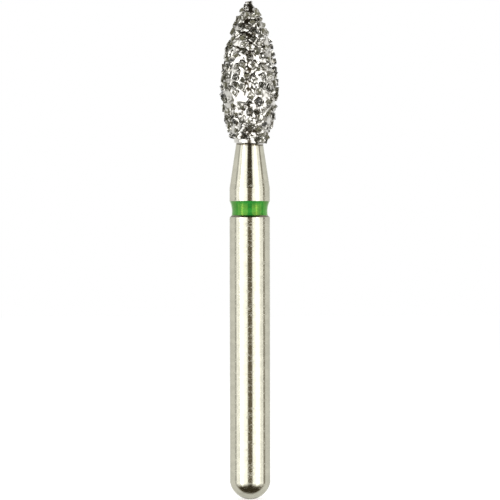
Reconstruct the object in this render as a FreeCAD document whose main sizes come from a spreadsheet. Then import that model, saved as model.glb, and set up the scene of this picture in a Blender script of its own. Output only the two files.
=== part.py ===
import FreeCAD, Part
import collections
import math
import operator
import os
import random
import types
import Sketcher

# A friction grip diamond bur, in millimetres.
# The axis is Z, the rounded shank end touches Z = 0 and the pointed head is at the top.

Vector = FreeCAD.Vector
AXIS = Vector(0, 0, 1)

# Driving dimensions: name, value, meaning.
SIZES = (
    ("shank_diameter", 1.60, "friction grip shank"),
    ("end_radius", 0.815, "spherical radius of the rounded shank end"),
    ("shank_length", 11.245, "rounded end to the lower wall of the colour groove"),
    ("groove_width", 0.56, "colour groove along the axis"),
    ("groove_depth", 0.16, "colour groove below the shank surface"),
    ("groove_chamfer", 0.08, "chamfer at the lower edge of the groove"),
    ("lacquer_drop", 0.008, "lacquer below the collar at the upper edge of the groove"),
    ("lacquer_hollow", 0.95, "radius of the hollow surface of the lacquer"),
    ("collar_length", 0.52, "full diameter collar above the groove"),
    ("neck_length", 1.77, "tapered neck from the collar to the edge of the plating"),
    ("neck_diameter", 1.07, "neck where the plating begins"),
    ("rear_length", 2.11, "edge of the plating to the widest place of the head"),
    ("front_length", 3.43, "widest place of the head to the tip of the plating"),
    ("head_diameter", 2.09, "widest place of the plated head, between the grains"),
    ("tip_radius", 0.20, "rounded tip of the plating"),
    ("core_tip_radius", 0.06, "flat end of the steel core"),
    ("plating_thickness", 0.18, "nickel on the steel core"),
    ("lip_step", 0.075, "edge of the plating that stands proud of the neck"),
    ("lip_length", 0.20, "straight edge of the plating"),
    ("lip_bevel", 0.04, "bevel under the edge of the plating"),
    ("skirt_length", 0.11, "smooth plating between the lip and the first grains"),
    ("large_grain", 0.47, "largest grains, across their corners"),
    ("small_grain", 0.30, "smallest grains, across their corners"),
    ("grain_gap", 0.008, "least gap between two grains"),
    ("grain_stand", 0.15, "most that a grain stands proud of the plating"),
    ("grain_seat", 0.01, "plating left under a grain"),
)

# How the grains are drawn at random, as shares and counts.
GRAIN_SEED = 23
GRAIN_TRIES = 2300
EXPOSED_SHARE = 0.5
CORNER_CUT_SHARE = 0.125
SIDE_SHARES = (0.75, 1)
CORNER_SHARES = (0.95, 1.2)
FACE_LEAN = 0.1
SKIRT_FACETS = 18
TIP_FACETS = 10

HeadArc = collections.namedtuple("HeadArc", "centre_radius centre_height radius first last")
Grain = collections.namedtuple("Grain", "outlines normals centre reach stand foot outward")


def joined(sign, rule):
    def method(self, other):
        if not isinstance(other, Measure):
            other = Measure(other, str(other))
        return Measure(rule(self.value, other.value), f"({self.formula} {sign} {other.formula})")
    return method


class Measure:
    # A length with its value now and the formula that ties it to the sheet.

    def __init__(self, value, formula):
        self.value = value
        self.formula = formula

    __add__ = joined("+", operator.add)
    __sub__ = joined("-", operator.sub)
    __mul__ = joined("*", operator.mul)
    __truediv__ = joined("/", operator.truediv)


def add_sizes(doc):
    sheet = doc.addObject("Spreadsheet::Sheet", "sizes")
    for row, (alias, value, meaning) in enumerate(SIZES, start=1):
        sheet.set(f"A{row}", meaning)
        sheet.set(f"B{row}", str(value))
        sheet.setAlias(f"B{row}", alias)
    doc.recompute()
    measures = {alias: Measure(sheet.get(alias), f"sizes.{alias}") for alias, value, meaning in SIZES}
    return types.SimpleNamespace(**measures)


def add_derived(s):
    # Radii, heights along the axis and profile arcs that follow from the sheet.
    s.shank_radius = s.shank_diameter / 2
    s.groove_floor = s.shank_radius - s.groove_depth
    s.groove_top = s.shank_length + s.groove_width
    s.collar_top = s.groove_top + s.collar_length
    s.neck_radius = s.neck_diameter / 2
    s.plating_start = s.collar_top + s.neck_length
    s.lip_radius = s.neck_radius + s.lip_step
    s.lip_top = s.plating_start + s.lip_length
    s.skirt_top = s.lip_top + s.skirt_length
    s.widest = s.plating_start + s.rear_length
    s.head_radius = s.head_diameter / 2
    s.core_radius = s.head_radius - s.plating_thickness
    s.tip_centre = s.widest + s.front_length - s.tip_radius
    swell = s.head_radius - s.lip_radius
    rise = s.rear_length - s.lip_length
    s.rear_radius = (swell * swell + rise * rise) / (swell * 2)
    s.rear_centre = s.head_radius - s.rear_radius
    taper = s.head_radius - s.tip_radius
    reach = s.front_length - s.tip_radius
    squares = s.head_radius * s.head_radius + reach * reach - s.tip_radius * s.tip_radius
    s.front_radius = squares / (taper * 2)
    s.front_centre = s.head_radius - s.front_radius


def origin_plane(body):
    return next(plane for plane in body.Origin.OriginFeatures if plane.Role == "XZ_Plane")


def add_sketch(body, name, curves):
    # A closed outline, drawn anticlockwise to the right of the axis.
    sketch = body.newObject("Sketcher::SketchObject", name)
    sketch.AttachmentSupport = [(origin_plane(body), "")]
    sketch.MapMode = "FlatFace"
    sketch.addGeometry(curves, False)
    for index in range(len(curves)):
        following = (index + 1) % len(curves)
        sketch.addConstraint(Sketcher.Constraint("Coincident", index, 2, following, 1))
    return sketch


def bind(sketch, kind, place, name, measure):
    index = sketch.addConstraint(Sketcher.Constraint(kind, *place, measure.value))
    sketch.renameConstraint(index, name)
    sketch.setExpression(f"Constraints.{name}", measure.formula)


def set_radius(sketch, geometry, point, name, measure):
    if measure.value > 0:
        bind(sketch, "DistanceX", (-1, 1, geometry, point), name, measure)
    else:
        bind(sketch, "DistanceX", (geometry, point, -1, 1), name, Measure(0, "0") - measure)


def set_height(sketch, geometry, point, name, measure):
    bind(sketch, "DistanceY", (-1, 1, geometry, point), name, measure)


def on_axis(sketch, geometry, point):
    sketch.addConstraint(Sketcher.Constraint("PointOnObject", geometry, point, -2))


def line(start, end):
    return Part.LineSegment(Vector(*start, 0), Vector(*end, 0))


def arc(centre, start, end):
    # The anticlockwise arc from start to end.
    middle = Vector(*centre, 0)
    first = math.atan2(start[1] - centre[1], start[0] - centre[0])
    last = math.atan2(end[1] - centre[1], end[0] - centre[0])
    if last < first:
        last += 2 * math.pi
    circle = Part.Circle(middle, AXIS, (Vector(*start, 0) - middle).Length)
    return Part.ArcOfCircle(circle, first, last)


def revolve(body, sketch, kind, name):
    turned = body.newObject(kind, name)
    turned.Profile = sketch
    turned.ReferenceAxis = (sketch, ["V_Axis"])
    turned.Angle = 360
    return turned


def edge_at(feature, radius, height):
    # The name of the full circle of that radius at that height, about the axis.
    for index, edge in enumerate(feature.Shape.Edges, start=1):
        if not edge.Degenerated and abs(edge.Length - 2 * math.pi * radius.value) < 1e-4:
            if edge.CenterOfMass.distanceToPoint(AXIS * height.value) < 1e-4:
                return f"Edge{index}"
    raise RuntimeError(f"{feature.Label} has no edge at {height.value}")


def at_angle(centre_radius, centre_height, radius, angle):
    return (centre_radius + radius * math.cos(angle), centre_height + radius * math.sin(angle))


def add_blank(doc, s):
    # Shank, neck and the core under the plating, turned from one steel rod.
    body = doc.addObject("PartDesign::Body", "steel_blank")
    shank, end = s.shank_radius.value, s.end_radius.value
    dome = (shank, end - math.sqrt(end * end - shank * shank))
    collar = (shank, s.collar_top.value)
    edge = (s.neck_radius.value, s.plating_start.value)
    rear = (s.rear_centre.value, s.widest.value)
    front = (s.front_centre.value, s.widest.value)
    waist = (s.core_radius.value, s.widest.value)
    foot_angle = -math.asin((s.rear_length - s.lip_length).value / s.rear_radius.value)
    foot = at_angle(*rear, waist[0] - rear[0], foot_angle)
    nose_rise = math.sqrt((waist[0] - front[0]) ** 2 - (s.core_tip_radius.value - front[0]) ** 2)
    nose = (s.core_tip_radius.value, front[1] + nose_rise)
    curves = [
        arc((0, end), (0, 0), dome),
        line(dome, collar),
        line(collar, foot),
        arc(rear, foot, waist),
        arc(front, waist, nose),
        line(nose, (0, nose[1])),
        line((0, nose[1]), (0, 0)),
    ]
    sketch = add_sketch(body, "blank_profile", curves)
    sketch.addConstraint(Sketcher.Constraint("Coincident", 0, 1, -1, 1))
    on_axis(sketch, 0, 3)
    set_height(sketch, 0, 3, "end_radius", s.end_radius)
    sketch.addConstraint(Sketcher.Constraint("Vertical", 1))
    set_radius(sketch, 1, 2, "shank_radius", s.shank_radius)
    set_height(sketch, 1, 2, "collar_top", s.collar_top)
    set_radius(sketch, 3, 3, "rear_centre", s.rear_centre)
    set_height(sketch, 3, 3, "rear_height", s.widest)
    set_radius(sketch, 3, 2, "core_radius", s.core_radius)
    set_height(sketch, 3, 2, "widest", s.widest)
    set_radius(sketch, 4, 3, "front_centre", s.front_centre)
    set_height(sketch, 4, 3, "front_height", s.widest)
    sketch.addConstraint(Sketcher.Constraint("Horizontal", 5))
    set_radius(sketch, 5, 1, "core_tip", s.core_tip_radius)
    on_axis(sketch, 5, 2)
    mark = sketch.addGeometry(Part.Point(Vector(*edge, 0)), True)
    set_radius(sketch, mark, 1, "neck_radius", s.neck_radius)
    set_height(sketch, mark, 1, "plating_start", s.plating_start)
    sketch.addConstraint(Sketcher.Constraint("PointOnObject", mark, 1, 2))
    revolve(body, sketch, "PartDesign::Revolution", "turned_blank")
    doc.recompute()

    outside = s.shank_diameter
    corners = [
        (s.groove_floor.value, s.shank_length.value),
        (outside.value, s.shank_length.value),
        (outside.value, s.groove_top.value),
        (s.groove_floor.value, s.groove_top.value),
    ]
    sides = [line(here, there) for here, there in zip(corners, corners[1:] + corners[:1])]
    sketch = add_sketch(body, "groove_profile", sides)
    for side, direction in enumerate(("Horizontal", "Vertical", "Horizontal", "Vertical")):
        sketch.addConstraint(Sketcher.Constraint(direction, side))
    set_radius(sketch, 0, 1, "groove_floor", s.groove_floor)
    set_height(sketch, 0, 1, "groove_low", s.shank_length)
    set_radius(sketch, 2, 1, "outside", outside)
    set_height(sketch, 2, 1, "groove_top", s.groove_top)
    groove = revolve(body, sketch, "PartDesign::Groove", "colour_groove")
    doc.recompute()
    chamfer = body.newObject("PartDesign::Chamfer", "groove_edge")
    chamfer.Base = (groove, [edge_at(groove, s.shank_radius, s.shank_length)])
    chamfer.setExpression("Size", "sizes.groove_chamfer")
    doc.recompute()
    return body


def add_band(doc, s):
    # Lacquer ring that fills the groove and dries with a hollow surface.
    body = doc.addObject("PartDesign::Body", "colour_band")
    lower = (s.shank_radius - s.groove_chamfer, s.shank_length)
    upper = (s.shank_radius - s.lacquer_drop, s.groove_top)
    start = Vector(upper[0].value, upper[1].value, 0)
    end = Vector(lower[0].value, lower[1].value, 0)
    chord = end - start
    hollow = s.lacquer_hollow.value
    outward = Vector(-chord.y, chord.x, 0).normalize()
    centre = (start + end) / 2 + outward * math.sqrt(hollow ** 2 - chord.Length ** 2 / 4)
    floor = s.groove_floor.value
    curves = [
        line((end.x, end.y), (floor, end.y)),
        line((floor, end.y), (floor, start.y)),
        line((floor, start.y), (start.x, start.y)),
        arc((centre.x, centre.y), (start.x, start.y), (end.x, end.y)),
    ]
    sketch = add_sketch(body, "band_profile", curves)
    for side, direction in enumerate(("Horizontal", "Vertical", "Horizontal")):
        sketch.addConstraint(Sketcher.Constraint(direction, side))
    set_radius(sketch, 0, 1, "lower_radius", lower[0])
    set_height(sketch, 0, 1, "groove_low", lower[1])
    set_radius(sketch, 0, 2, "groove_floor", s.groove_floor)
    set_radius(sketch, 2, 2, "upper_radius", upper[0])
    set_height(sketch, 2, 2, "groove_top", upper[1])
    bind(sketch, "Radius", (3,), "lacquer_hollow", s.lacquer_hollow)
    revolve(body, sketch, "PartDesign::Revolution", "lacquer_ring")
    doc.recompute()
    return body


def add_skirt(doc, s):
    # Smooth foot of the plating: a lip on the neck and the start of the head's curve.
    body = doc.addObject("PartDesign::Body", "plating_skirt")
    start, top, lip = s.plating_start.value, s.skirt_top.value, s.lip_radius.value
    lip_foot = s.lip_radius - s.lip_bevel
    bevel_top = s.plating_start + s.lip_bevel
    rear = (s.rear_centre.value, s.widest.value)
    angle = -math.asin((rear[1] - top) / s.rear_radius.value)
    shoulder = at_angle(*rear, s.rear_radius.value, angle)
    curves = [
        line((0, start), (lip_foot.value, start)),
        line((lip_foot.value, start), (lip, bevel_top.value)),
        line((lip, bevel_top.value), (lip, s.lip_top.value)),
        arc(rear, (lip, s.lip_top.value), shoulder),
        line(shoulder, (0, top)),
        line((0, top), (0, start)),
    ]
    sketch = add_sketch(body, "skirt_profile", curves)
    for side, direction in ((0, "Horizontal"), (2, "Vertical"), (4, "Horizontal")):
        sketch.addConstraint(Sketcher.Constraint(direction, side))
    on_axis(sketch, 0, 1)
    on_axis(sketch, 4, 2)
    set_height(sketch, 0, 1, "plating_start", s.plating_start)
    set_radius(sketch, 0, 2, "lip_foot", lip_foot)
    set_radius(sketch, 1, 2, "lip_radius", s.lip_radius)
    set_height(sketch, 1, 2, "bevel_top", bevel_top)
    set_height(sketch, 2, 2, "lip_top", s.lip_top)
    set_radius(sketch, 3, 3, "rear_centre", s.rear_centre)
    set_height(sketch, 3, 3, "widest", s.widest)
    set_height(sketch, 4, 2, "skirt_top", s.skirt_top)
    revolve(body, sketch, "PartDesign::Revolution", "turned_skirt")
    doc.recompute()
    return body


def head_arcs(s):
    # The plated profile from the skirt to the tip, as arcs with their angles.
    widest = s.widest.value
    foot = -math.asin((widest - s.skirt_top.value) / s.rear_radius.value)
    nose = math.atan2(s.tip_centre.value - widest, -s.front_centre.value)
    return (
        HeadArc(s.rear_centre.value, widest, s.rear_radius.value, foot, 0),
        HeadArc(s.front_centre.value, widest, s.front_radius.value, 0, nose),
        HeadArc(0, s.tip_centre.value, s.tip_radius.value, nose, math.pi / 2),
    )


def on_head(head_arc, angle, turn):
    # A place on the plated surface and the direction outward from it.
    radius, height = at_angle(head_arc.centre_radius, head_arc.centre_height, head_arc.radius, angle)
    around = Vector(math.cos(turn), math.sin(turn), 0)
    return around * radius + AXIS * height, around * math.cos(angle) + AXIS * math.sin(angle)


def random_place(chance, arcs, widest):
    # Every part of the surface is as likely as its area.
    lengths = [piece.radius * (piece.last - piece.first) for piece in arcs]
    while True:
        piece = chance.choices(arcs, lengths)[0]
        angle = chance.uniform(piece.first, piece.last)
        place, outward = on_head(piece, angle, chance.uniform(0, 2 * math.pi))
        if chance.random() < math.hypot(place.x, place.y) / widest:
            return place, outward


def behind(outline, place, normal):
    # The part of a flat outline that lies behind a plane.
    kept = []
    for here, there in zip(outline, outline[1:] + outline[:1]):
        depth = (here - place).dot(normal)
        next_depth = (there - place).dot(normal)
        if depth <= 0:
            kept.append(here)
        if depth * next_depth < 0:
            kept.append(here + (there - here) * (depth / (depth - next_depth)))
    return kept


def convex_outlines(planes, reach):
    # The faces of the solid behind all the planes: wide squares, each trimmed by the other planes.
    outlines = []
    for place, normal in planes:
        across = normal.cross(Vector(normal.z, normal.x, -normal.y)).normalize() * reach
        up = normal.cross(across)
        outline = [place - across - up, place + across - up, place + across + up, place - across + up]
        for other, outward in planes:
            if other is not place and outline:
                outline = behind(outline, other, outward)
        outlines.append(outline)
    return outlines


def solid_from(outlines):
    faces = [Part.Face(Part.makePolygon(outline + outline[:1])) for outline in outlines if outline]
    return Part.Solid(Part.Shell(faces))


def grow_crystal(chance, reach):
    # A blocky diamond about the origin with some corners cut off, its farthest corner at reach.
    spin_axis = Vector(chance.gauss(0, 1), chance.gauss(0, 1), chance.gauss(0, 1))
    spin = FreeCAD.Rotation(spin_axis, chance.uniform(0, 360))
    sides = [Vector(*(sign * (axis == k) for k in range(3))) for axis in range(3) for sign in (1, -1)]
    corners = [Vector(a, b, c).normalize() for a in (-1, 1) for b in (-1, 1) for c in (-1, 1)]
    cut = [corner for corner in corners if chance.random() < CORNER_CUT_SHARE]
    growth = [(side, chance.uniform(*SIDE_SHARES)) for side in sides]
    growth += [(corner, chance.uniform(*CORNER_SHARES)) for corner in cut]
    tilt = [Vector(*(chance.gauss(0, FACE_LEAN) for k in range(3))) for face in growth]
    normals = [spin.multVec((face + lean).normalize()) for (face, distance), lean in zip(growth, tilt)]
    planes = [(normal * distance, normal) for normal, (face, distance) in zip(normals, growth)]
    outlines = convex_outlines(planes, len(sides))
    scale = reach / max(point.Length for outline in outlines for point in outline)
    return [[point * scale for point in outline] for outline in outlines], normals


def seat_grain(chance, place, outward, reach, s):
    # The plating holds a fixed share of the grain's height, unless the grain meets the core first.
    outlines, normals = grow_crystal(chance, reach)
    heights = [point.dot(outward) for outline in outlines for point in outline]
    low, high = min(heights), max(heights)
    depth = min((high - low) * (1 - EXPOSED_SHARE), s.plating_thickness.value - s.grain_seat.value)
    centre = place - outward * (low + depth)
    outlines = [[point + centre for point in outline] for outline in outlines]
    return Grain(outlines, normals, centre, reach, high - low - depth, place, outward)


def face_between(grain, other, gap):
    # Whether some face of the grain has the whole other grain in front of it.
    for outline, normal in zip(grain.outlines, grain.normals):
        if outline:
            level = outline[0].dot(normal) + gap
            if all(point.dot(normal) > level for side in other.outlines for point in side):
                return True
    return False


def clear_of(grain, other, gap):
    if (grain.centre - other.centre).Length > grain.reach + other.reach + gap:
        return True
    return face_between(grain, other, gap) or face_between(other, grain, gap)


def grow_grains(s):
    # Grains dropped at random, large ones first, each kept only where it clears the others.
    chance = random.Random(GRAIN_SEED)
    arcs = head_arcs(s)
    grains = []
    for attempt in range(GRAIN_TRIES):
        share = attempt / GRAIN_TRIES
        reach = (s.large_grain.value * (1 - share) + s.small_grain.value * share) / 2
        place, outward = random_place(chance, arcs, s.head_radius.value)
        if not grains:
            place, outward = on_head(arcs[-1], math.pi / 2, 0)
        if any((place - other.foot).Length < reach for other in grains):
            continue
        grain = seat_grain(chance, place, outward, reach, s)
        if grain.stand > s.grain_stand.value or grain.centre.z - reach < s.skirt_top.value:
            continue
        if all(clear_of(grain, other, s.grain_gap.value) for other in grains):
            grains.append(grain)
    return grains


def turns(count):
    # Evenly spaced directions round the axis.
    return [2 * math.pi * k / count for k in range(count)]


def cut(doc, name, base, tool):
    less = doc.addObject("Part::Cut", name)
    less.Base = base
    less.Tool = tool
    return less


def add_plating(doc, s, grains):
    # A facet of nickel under each grain, tangent to the head's profile, and a ring at each end.
    skirt_arc, front_arc, tip_arc = head_arcs(s)
    shoulder = (tip_arc.first + tip_arc.last) / 2
    planes = [(grain.foot, grain.outward) for grain in grains]
    planes += [on_head(skirt_arc, skirt_arc.first, turn) for turn in turns(SKIRT_FACETS)]
    planes += [on_head(tip_arc, shoulder, turn) for turn in turns(TIP_FACETS)]
    planes.append((AXIS * s.skirt_top.value, -AXIS))
    faceted = doc.addObject("Part::Feature", "plating_facets")
    faceted.Shape = solid_from(convex_outlines(planes, s.head_diameter.value))
    return faceted


def main():
    doc = FreeCAD.newDocument("dental_bur")
    s = add_sizes(doc)
    add_derived(s)
    blank = add_blank(doc, s)
    band = add_band(doc, s)
    skirt = add_skirt(doc, s)

    grains = grow_grains(s)
    grit = doc.addObject("Part::Feature", "diamond_grit")
    grit.Shape = Part.Compound([solid_from(grain.outlines) for grain in grains])

    plated = doc.addObject("Part::Fuse", "plated_head")
    plated.Base = skirt
    plated.Tool = add_plating(doc, s, grains)
    pocketed = cut(doc, "grain_pockets", plated, grit)
    bond = cut(doc, "nickel_bond", pocketed, blank)
    doc.recompute()

    for thing in doc.Objects:
        if "Invalid" in thing.State or "Error" in thing.State:
            raise RuntimeError(f"{thing.Label} failed: {thing.State}")
    os.makedirs("parts", exist_ok=True)
    nodes = (blank, band, bond, grit)
    for node in nodes:
        if node.Shape.isNull() or not node.Shape.isValid():
            raise RuntimeError(f"{node.Label} has no valid shape")
    for node in nodes:
        node.Shape.exportStep(f"parts/{node.Label}.step")
        print(node.Label, len(node.Shape.Solids), "solids,", round(node.Shape.Volume, 4), "mm3")


main()
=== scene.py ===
"""Looks of the friction grip diamond bur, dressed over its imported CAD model."""

import math
from types import SimpleNamespace

import bmesh
import bpy
from bpy.props import FloatProperty, FloatVectorProperty, IntProperty, PointerProperty
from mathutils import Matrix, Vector


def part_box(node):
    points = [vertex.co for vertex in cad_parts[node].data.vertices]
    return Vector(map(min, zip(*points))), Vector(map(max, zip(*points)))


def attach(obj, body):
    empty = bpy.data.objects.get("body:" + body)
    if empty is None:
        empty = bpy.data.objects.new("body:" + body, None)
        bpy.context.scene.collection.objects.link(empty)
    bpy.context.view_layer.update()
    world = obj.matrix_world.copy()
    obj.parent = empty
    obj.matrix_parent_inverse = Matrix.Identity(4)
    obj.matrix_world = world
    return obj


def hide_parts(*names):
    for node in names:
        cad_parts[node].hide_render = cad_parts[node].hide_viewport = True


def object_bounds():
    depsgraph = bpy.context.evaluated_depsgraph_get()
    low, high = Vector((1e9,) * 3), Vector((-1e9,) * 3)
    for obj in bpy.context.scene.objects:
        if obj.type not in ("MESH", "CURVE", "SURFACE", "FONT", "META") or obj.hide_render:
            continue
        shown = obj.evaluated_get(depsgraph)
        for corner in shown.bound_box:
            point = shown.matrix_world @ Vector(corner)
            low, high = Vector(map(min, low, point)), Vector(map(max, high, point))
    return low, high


bl_info = {
    "name": "Diamond bur",
    "version": (1, 0, 0),
    "blender": (4, 5, 0),
    "location": "View3D > Sidebar > Bur",
    "description": "Turned steel blank, colour band, nickel bond and diamond grit of a dental bur",
    "category": "Add Mesh",
}

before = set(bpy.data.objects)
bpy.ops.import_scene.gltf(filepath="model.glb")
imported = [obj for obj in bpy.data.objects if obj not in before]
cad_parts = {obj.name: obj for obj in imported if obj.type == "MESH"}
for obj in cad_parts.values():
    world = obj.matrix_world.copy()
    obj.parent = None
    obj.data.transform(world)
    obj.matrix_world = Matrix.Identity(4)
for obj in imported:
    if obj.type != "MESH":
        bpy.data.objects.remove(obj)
cad_low, cad_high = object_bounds()
band_low, band_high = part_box("colour_band")
bond_low, bond_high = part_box("nickel_bond")

MM = 0.001
BODY = "root"

# Steps round the axis and along the turned outlines.
AROUND = 256
ARC_STEPS = 24
CORE_STEPS = 12
SHANK_STEPS = 40
LIP_STEPS = 6
SHARP_DEGREES = 28.0
ON_AXIS = 1e-9

# How the plating edge runs off level round the axis and leans, as shares of its tilt.
TILT_ACROSS = 0.7
TILT_ALONG = -0.4
TILT_LEAN = -0.3


# Properties


def length(name, description, default):
    return FloatProperty(
        name=name, description=description, default=default, unit="LENGTH", precision=6, min=0.0
    )


def share(name, description, default):
    return FloatProperty(name=name, description=description, default=default, min=0.0, max=1.0)


def colour(name, description, default):
    return FloatVectorProperty(
        name=name, description=description, default=default, subtype="COLOR", min=0.0, max=1.0
    )


class BurBlankSizes(bpy.types.PropertyGroup):
    """Shank, groove and neck, turned from one steel rod."""

    shank_diameter: length("Shank diameter", "Friction grip shank", 1.60 * MM)
    end_radius: length("End radius", "Spherical radius of the rounded shank end", 0.815 * MM)
    groove_low: length("Groove foot", "Height of the lower wall of the groove", band_low.z)
    groove_top: length("Groove top", "Height of the upper wall of the groove", band_high.z)
    groove_depth: length("Groove depth", "Groove below the shank surface", 0.16 * MM)
    groove_chamfer: length("Groove chamfer", "Chamfer at the lower edge", 0.08 * MM)
    collar_length: length("Collar length", "Full diameter collar above the groove", 0.52 * MM)
    neck_diameter: length("Neck diameter", "Neck where the plating begins", 1.07 * MM)
    edge_break: length("Edge break", "Radius of the turned edges", 0.018 * MM)
    steel: colour("Steel", "Colour of the stainless steel", (0.565, 0.55, 0.45))
    # Painted shade: the dark colour that the steel takes in the groove's lower corner and just
    # under the plating edge.
    painted_shade: colour("Grime", "Dark film in the groove and under the plating", (0.09, 0.07, 0.04))
    roughness: share("Steel roughness", "Roughness of the ground shank", 0.11)


class BurBandSizes(bpy.types.PropertyGroup):
    """Lacquer ring that marks the grit."""

    drop: length("Upper drop", "Lacquer below the collar at the upper edge", 0.008 * MM)
    hollow: length("Hollow radius", "Radius of the hollow surface of the lacquer", 0.95 * MM)
    lacquer: colour("Lacquer", "Green that marks coarse grit", (0.028, 0.325, 0.042))


class BurPlatingSizes(bpy.types.PropertyGroup):
    """Nickel that holds the grit on the head."""

    start: length("Plating start", "Height of the lower edge of the plating", bond_low.z)
    rear_length: length("Rear length", "Plating edge to the widest place", 2.11 * MM)
    front_length: length("Front length", "Widest place to the tip", 3.43 * MM)
    head_diameter: length("Head diameter", "Widest place between the grains", 2.09 * MM)
    tip_radius: length("Tip radius", "Rounded tip of the plating", 0.20 * MM)
    thickness: length("Plating thickness", "Nickel on the steel core", 0.18 * MM)
    core_tip: length("Core tip radius", "Flat end of the steel core", 0.06 * MM)
    lip_step: length("Lip step", "Plating edge proud of the neck", 0.075 * MM)
    lip_length: length("Lip length", "Straight edge of the plating", 0.20 * MM)
    lip_tilt: length("Lip tilt", "How far the plating edge runs off level", 0.07 * MM)
    lip_roll: length("Lip roll", "Rounding of the lower edge of the plating", 0.072 * MM)
    climb: length("Climb", "How far the nickel climbs up a grain", 0.04 * MM)
    climb_reach: length("Climb reach", "How fast the climb falls off", 0.028 * MM)
    ripple: length("Ripple", "Height of the ripples of the nickel", 0.03 * MM)
    ripple_size: length("Ripple size", "Width of a ripple", 0.16 * MM)
    nickel: colour("Nickel", "Colour of the nickel", (0.66, 0.645, 0.595))
    # Painted shade: the nickel darkens to this colour in the crevice round each grain, over the
    # crevice width below.
    crevice: colour("Crevice", "Dull nickel in the crevice round a grain", (0.008, 0.007, 0.004))
    crevice_width: length("Crevice width", "How far the crevice reaches from a grain", 0.016 * MM)
    roughness: share("Nickel roughness", "Roughness of the plated nickel", 0.08)


class BurGritSizes(bpy.types.PropertyGroup):
    """Diamond grains of the head."""

    wear: length("Edge wear", "Rounding of the edges of a grain", 0.026 * MM)
    chip: length("Chipping", "Unevenness of the faces of a grain", 0.04 * MM)
    fine_spacing: length("Spacing", "Least spacing of the small grains", 0.12 * MM)
    fine_small: length("Smallest", "Width of the smallest of the small grains", 0.08 * MM)
    fine_large: length("Largest", "Width of the largest of the small grains", 0.2 * MM)
    creep: length("Creep", "Reach of the small grains over the plating's edge", 0.15 * MM)
    seed: IntProperty(name="Seed", description="Seed of the small grains", default=8)
    pale: colour("Pale diamond", "Colour of the palest grains", (0.185, 0.178, 0.115))
    dark: colour("Dark diamond", "Colour of the darkest grains", (0.015, 0.014, 0.008))
    film_start: share("Film start", "Lower values spread the nickel film further", 0.51)
    roughness: share("Diamond roughness", "Roughness of the grown faces", 0.06)


class BurStageSizes(bpy.types.PropertyGroup):
    """Floor, light and camera."""

    lens: FloatProperty(name="Lens", description="Focal length of the camera", default=200.0)
    field: length("Field", "Width that the picture covers at the bur", 19.83 * MM)
    middle: length("Middle", "Height of the middle of the picture", 9.875 * MM)
    floor_size: length("Floor size", "Side of the pale floor", 0.6)
    daylight: FloatProperty(name="Daylight", description="Light from all round", default=0.62)
    lamp_watts: FloatProperty(name="Lamp", description="Power of each soft lamp", default=0.05)


# Shader and geometry node maths


class Wire:
    """A socket of a node, on which sums can be written."""

    def __init__(self, board, socket):
        self.board = board
        self.socket = socket

    def __add__(self, other):
        return self.board.maths("ADD", self, other)

    def __radd__(self, other):
        return self.board.maths("ADD", other, self)

    def __sub__(self, other):
        return self.board.maths("SUBTRACT", self, other)

    def __rsub__(self, other):
        return self.board.maths("SUBTRACT", other, self)

    def __mul__(self, other):
        return self.board.maths("MULTIPLY", self, other)

    def __rmul__(self, other):
        return self.board.maths("MULTIPLY", other, self)

    def __truediv__(self, other):
        return self.board.maths("DIVIDE", self, other)

    def __rtruediv__(self, other):
        return self.board.maths("DIVIDE", other, self)

    def __gt__(self, other):
        return self.board.maths("GREATER_THAN", self, other)

    def __lt__(self, other):
        return self.board.maths("LESS_THAN", self, other)


def socket_of(sockets, key):
    if isinstance(key, int):
        return sockets[key]
    for socket in sockets:
        if socket.identifier == key:
            return socket
    return sockets[key]


class Board:
    """A node tree that nodes are added to with their settings and values."""

    def __init__(self, tree):
        self.tree = tree

    def add(self, kind, settings=(), values=(), out=0):
        node = self.tree.nodes.new(kind)
        for name, value in dict(settings).items():
            if name == "stops":
                self.set_stops(node.color_ramp.elements, value)
            else:
                setattr(node, name, value)
        for key, value in dict(values).items():
            socket = socket_of(node.inputs, key)
            if isinstance(value, Wire):
                self.tree.links.new(value.socket, socket)
            else:
                socket.default_value = value
        return Wire(self, socket_of(node.outputs, out)) if node.outputs else node

    def set_stops(self, elements, stops):
        while len(elements) > 1:
            elements.remove(elements[-1])
        elements[0].position, elements[0].color = stops[0]
        for place, tone in stops[1:]:
            elements.new(place).color = tone

    def maths(self, operation, first, second=0.0):
        return self.add("ShaderNodeMath", {"operation": operation}, {0: first, 1: second})

    def other(self, wire, key):
        # Another output of the node that a wire comes from.
        return Wire(self, socket_of(wire.socket.node.outputs, key))

    def mix(self, factor, first, second):
        ends = {"Factor_Float": factor, "A_Color": first, "B_Color": second}
        return self.add("ShaderNodeMix", {"data_type": "RGBA"}, ends, "Result_Color")

    def clamped(self, value, start, end, low=0.0, high=1.0):
        # Runs smoothly from low to high while the value goes from start to end.
        values = {"Value": value, "From Min": start, "From Max": end}
        values.update({"To Min": low, "To Max": high})
        return self.add("ShaderNodeMapRange", {"interpolation_type": "SMOOTHSTEP"}, values)

    def scaled(self, vector, scale):
        values = {0: vector, "Scale": scale}
        return self.add("ShaderNodeVectorMath", {"operation": "SCALE"}, values)


def solid(rgb, times=1.0):
    # The value of a colour socket, made darker or lighter.
    return (*(min(1.0, part * times) for part in rgb[:3]), 1.0)


def blended(first, second, factor):
    return first * (1.0 - factor) + second * factor


def new_material(name):
    material = bpy.data.materials.new(name)
    material.use_nodes = True
    material.node_tree.nodes.clear()
    return material, Board(material.node_tree)


def finish_material(board, shader):
    board.add("ShaderNodeOutputMaterial", (), {"Surface": shader})


def finish_surface(board, values):
    finish_material(board, board.add("ShaderNodeBsdfPrincipled", (), values))


def bump_on(board, height, depth):
    values = {"Strength": 1.0, "Distance": depth, "Height": height}
    return board.add("ShaderNodeBump", (), values)


def noise_on(board, place, per_mm, detail=3.0, rough=0.5):
    values = {"Vector": place, "Scale": per_mm / MM, "Detail": detail, "Roughness": rough}
    return board.add("ShaderNodeTexNoise", (), values, "Fac")


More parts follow.
